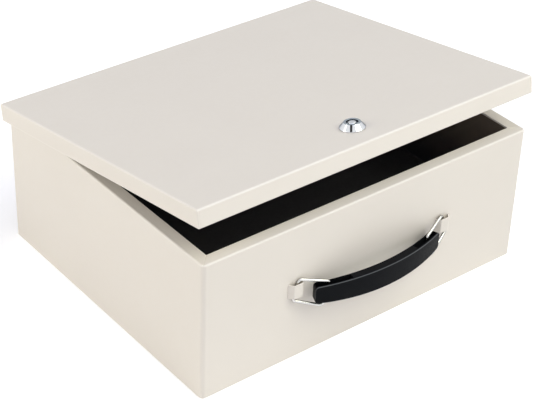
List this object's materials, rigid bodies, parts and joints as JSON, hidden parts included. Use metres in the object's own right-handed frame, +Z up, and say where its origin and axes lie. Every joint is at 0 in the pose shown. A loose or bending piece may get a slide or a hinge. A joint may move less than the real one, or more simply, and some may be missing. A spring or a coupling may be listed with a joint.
{
  "type": "fireproof document box",
  "caption": "Double-walled steel box for papers, with a hinged lid that locks with a round key and a black carrying handle on wire bails.",
  "frame": {"origin": "the middle of the body's underside, on the face it stands on", "axes": "+X along the width, to the right of someone facing the front; the front with the handle faces -Y; +Z up"},
  "size_m": [0.395, 0.3587, 0.207],
  "materials": {
    "sand_coat": "satin",
    "black_liner": "matte",
    "insulation_board": "matte",
    "zinc_steel": "satin",
    "chrome_plate": "polished",
    "black_plastic": "satin"
  },
  "bodies": {
    "root": {"outer_shell": "sand_coat", "bottom_panel": "sand_coat", "inner_liner": "black_liner", "wall_board_front": "insulation_board", "wall_board_back": "insulation_board", "wall_board_left": "insulation_board", "wall_board_right": "insulation_board", "base_board_lower": "insulation_board", "base_board_upper": "insulation_board", "hinge_leaf_body": "zinc_steel", "hinge_pin": "zinc_steel", "hinge_rivet_body_1": "zinc_steel", "hinge_rivet_body_2": "zinc_steel", "hinge_rivet_body_3": "zinc_steel", "hinge_rivet_body_4": "zinc_steel", "handle_clip_left": "sand_coat", "handle_clip_right": "sand_coat", "lock_strike": "black_liner"},
    "lid": {"lid_shell": "sand_coat", "lid_board": "insulation_board", "lid_liner": "sand_coat", "hinge_leaf_lid": "zinc_steel", "hinge_rivet_lid_1": "sand_coat", "hinge_rivet_lid_2": "sand_coat", "hinge_rivet_lid_3": "sand_coat", "hinge_rivet_lid_4": "sand_coat", "lock_barrel": "chrome_plate", "lock_washer": "zinc_steel", "lock_nut": "zinc_steel"},
    "lock_rotor": {"lock_plug": "chrome_plate", "lock_cam": "zinc_steel", "cam_screw": "zinc_steel"},
    "handle": {"handle_grip": "black_plastic"},
    "bail_left": {"handle_bail_left": "chrome_plate"},
    "bail_right": {"handle_bail_right": "chrome_plate"}
  },
  "joints": [
    {"name": "lid_hinge", "type": "hinge", "parent": "root", "child": "lid", "pos_m": [0, 0.1636, 0.1349], "axis": [-1, 0, 0], "range_deg": [-9.65, 85.35]},
    {"name": "lock_turn", "type": "hinge", "parent": "lid", "child": "lock_rotor", "pos_m": [0, -0.12354, 0.19945], "axis": [0, -0.1676, -0.9858], "range_deg": [0, 90]},
    {"name": "handle_pull", "type": "slide", "parent": "root", "child": "handle", "axis": [0, -1, 0], "range_m": [-0.001, 0.0045]},
    {"name": "bail_left_swing", "type": "hinge", "parent": "handle", "child": "bail_left", "pos_m": [-0.0635, -0.1729, 0.07021], "axis": [0.3156, 0, 0.9489], "range_deg": [-9.05, 2.1]},
    {"name": "bail_right_swing", "type": "hinge", "parent": "handle", "child": "bail_right", "pos_m": [0.0635, -0.1729, 0.07021], "axis": [-0.3156, 0, 0.9489], "range_deg": [-2.1, 9.05]}
  ],
  "couplings": [
    {"joint": "bail_left_swing", "follows": "handle_pull", "rad_per_m": -34.33},
    {"joint": "bail_right_swing", "follows": "handle_pull", "rad_per_m": 34.33}
  ]
}
